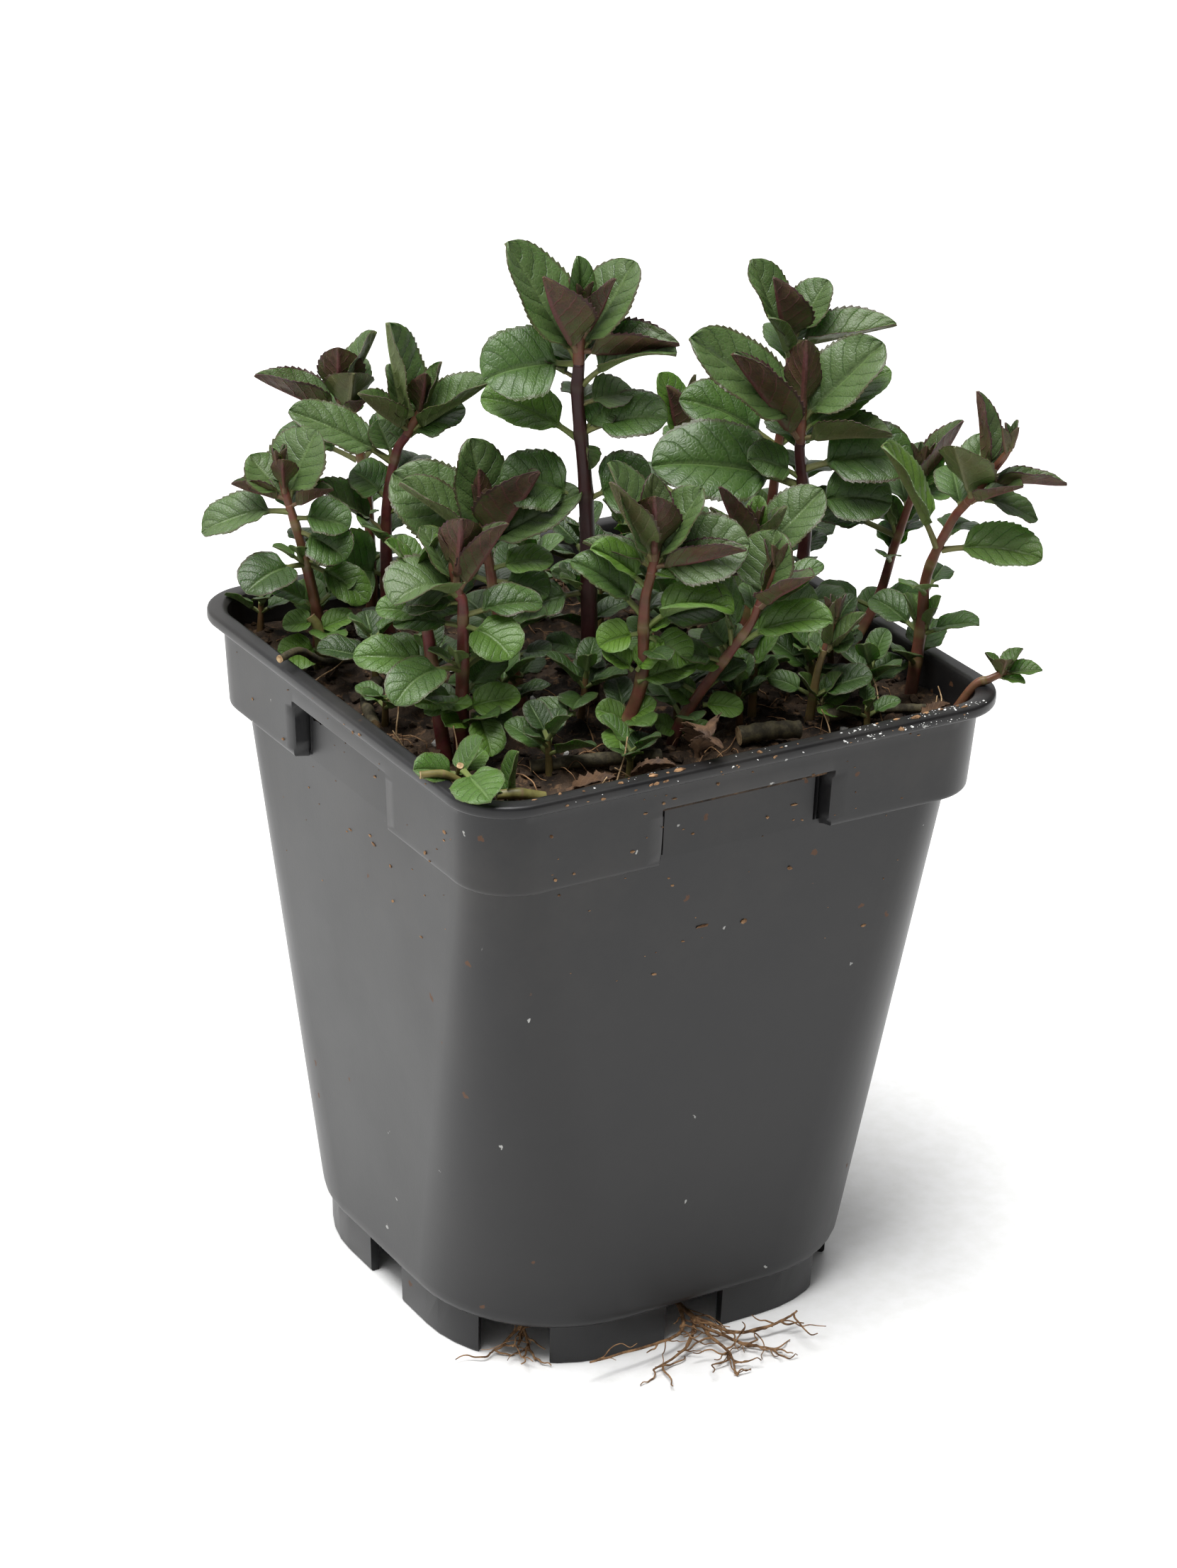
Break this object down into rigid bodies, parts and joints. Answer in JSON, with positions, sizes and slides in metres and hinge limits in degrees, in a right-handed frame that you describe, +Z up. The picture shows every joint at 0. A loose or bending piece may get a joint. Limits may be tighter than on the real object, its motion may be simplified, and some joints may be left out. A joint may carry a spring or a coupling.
{
  "type": "potted mint plant",
  "caption": "Bushy mint plant with upright stems and opposite toothed leaves, growing from peat in a square tapered nursery pot with a stepped rim and slotted foot ring.",
  "frame": {"origin": "pot's axis at the level the feet stand on, which is also the middle of the box's footprint", "axes": "+Z up the pot's axis, -Y out of the front face, +X to the right of it"},
  "size_m": [0.1008, 0.097, 0.1622],
  "materials": {
    "pot": "satin black moulded plastic, dusty",
    "soil": "moist dark peat with brown fibres",
    "root": "thin dry brown roots",
    "runner": "old olive-brown runner",
    "stem": "satin red-purple stem",
    "young_leaf": "green above, purple-brown below, satin",
    "grown_leaf": "dark green, veined, satin"
  },
  "bodies": {
    "root": {"crown_a": "young_leaf", "crown_b": "young_leaf", "crown_c": "young_leaf", "crown_d": "young_leaf", "crown_e1": "young_leaf", "crown_e2": "young_leaf", "crown_f": "young_leaf", "crown_g": "young_leaf", "crown_h": "young_leaf", "crown_i": "young_leaf", "crown_j": "young_leaf", "crown_k": "young_leaf", "crown_l": "young_leaf", "crown_m": "young_leaf", "crown_n": "young_leaf", "leaf_pair_a1": "grown_leaf", "leaf_pair_b1": "grown_leaf", "leaf_pair_b2": "grown_leaf", "leaf_pair_c1": "grown_leaf", "leaf_pair_c2": "grown_leaf", "leaf_pair_d1": "grown_leaf", "leaf_pair_d2": "grown_leaf", "leaf_pair_d3": "grown_leaf", "leaf_pair_d4": "grown_leaf", "leaf_pair_e11": "grown_leaf", "leaf_pair_e12": "grown_leaf", "leaf_pair_e21": "grown_leaf", "leaf_pair_g1": "grown_leaf", "leaf_pair_h1": "grown_leaf", "leaf_pair_h2": "grown_leaf", "leaf_pair_i1": "grown_leaf", "leaf_pair_i2": "grown_leaf", "leaf_pair_j1": "grown_leaf", "leaf_pair_j2": "grown_leaf", "leaf_pair_k1": "grown_leaf", "leaf_pair_k2": "grown_leaf", "leaf_pair_l1": "grown_leaf", "leaf_pair_m1": "grown_leaf", "leaf_pair_m2": "grown_leaf", "pot": "pot", "roots_corner": "root", "roots_front": "root", "runner_front": "runner", "soil": "soil", "stem_a": "stem", "stem_b": "stem", "stem_c": "stem", "stem_d": "stem", "stem_e1": "stem", "stem_e2": "stem", "stem_f": "stem", "stem_g": "stem", "stem_h": "stem", "stem_i": "stem", "stem_j": "stem", "stem_k": "stem", "stem_l": "stem", "stem_m": "stem", "stem_n": "stem"}
  },
  "joints": []
}
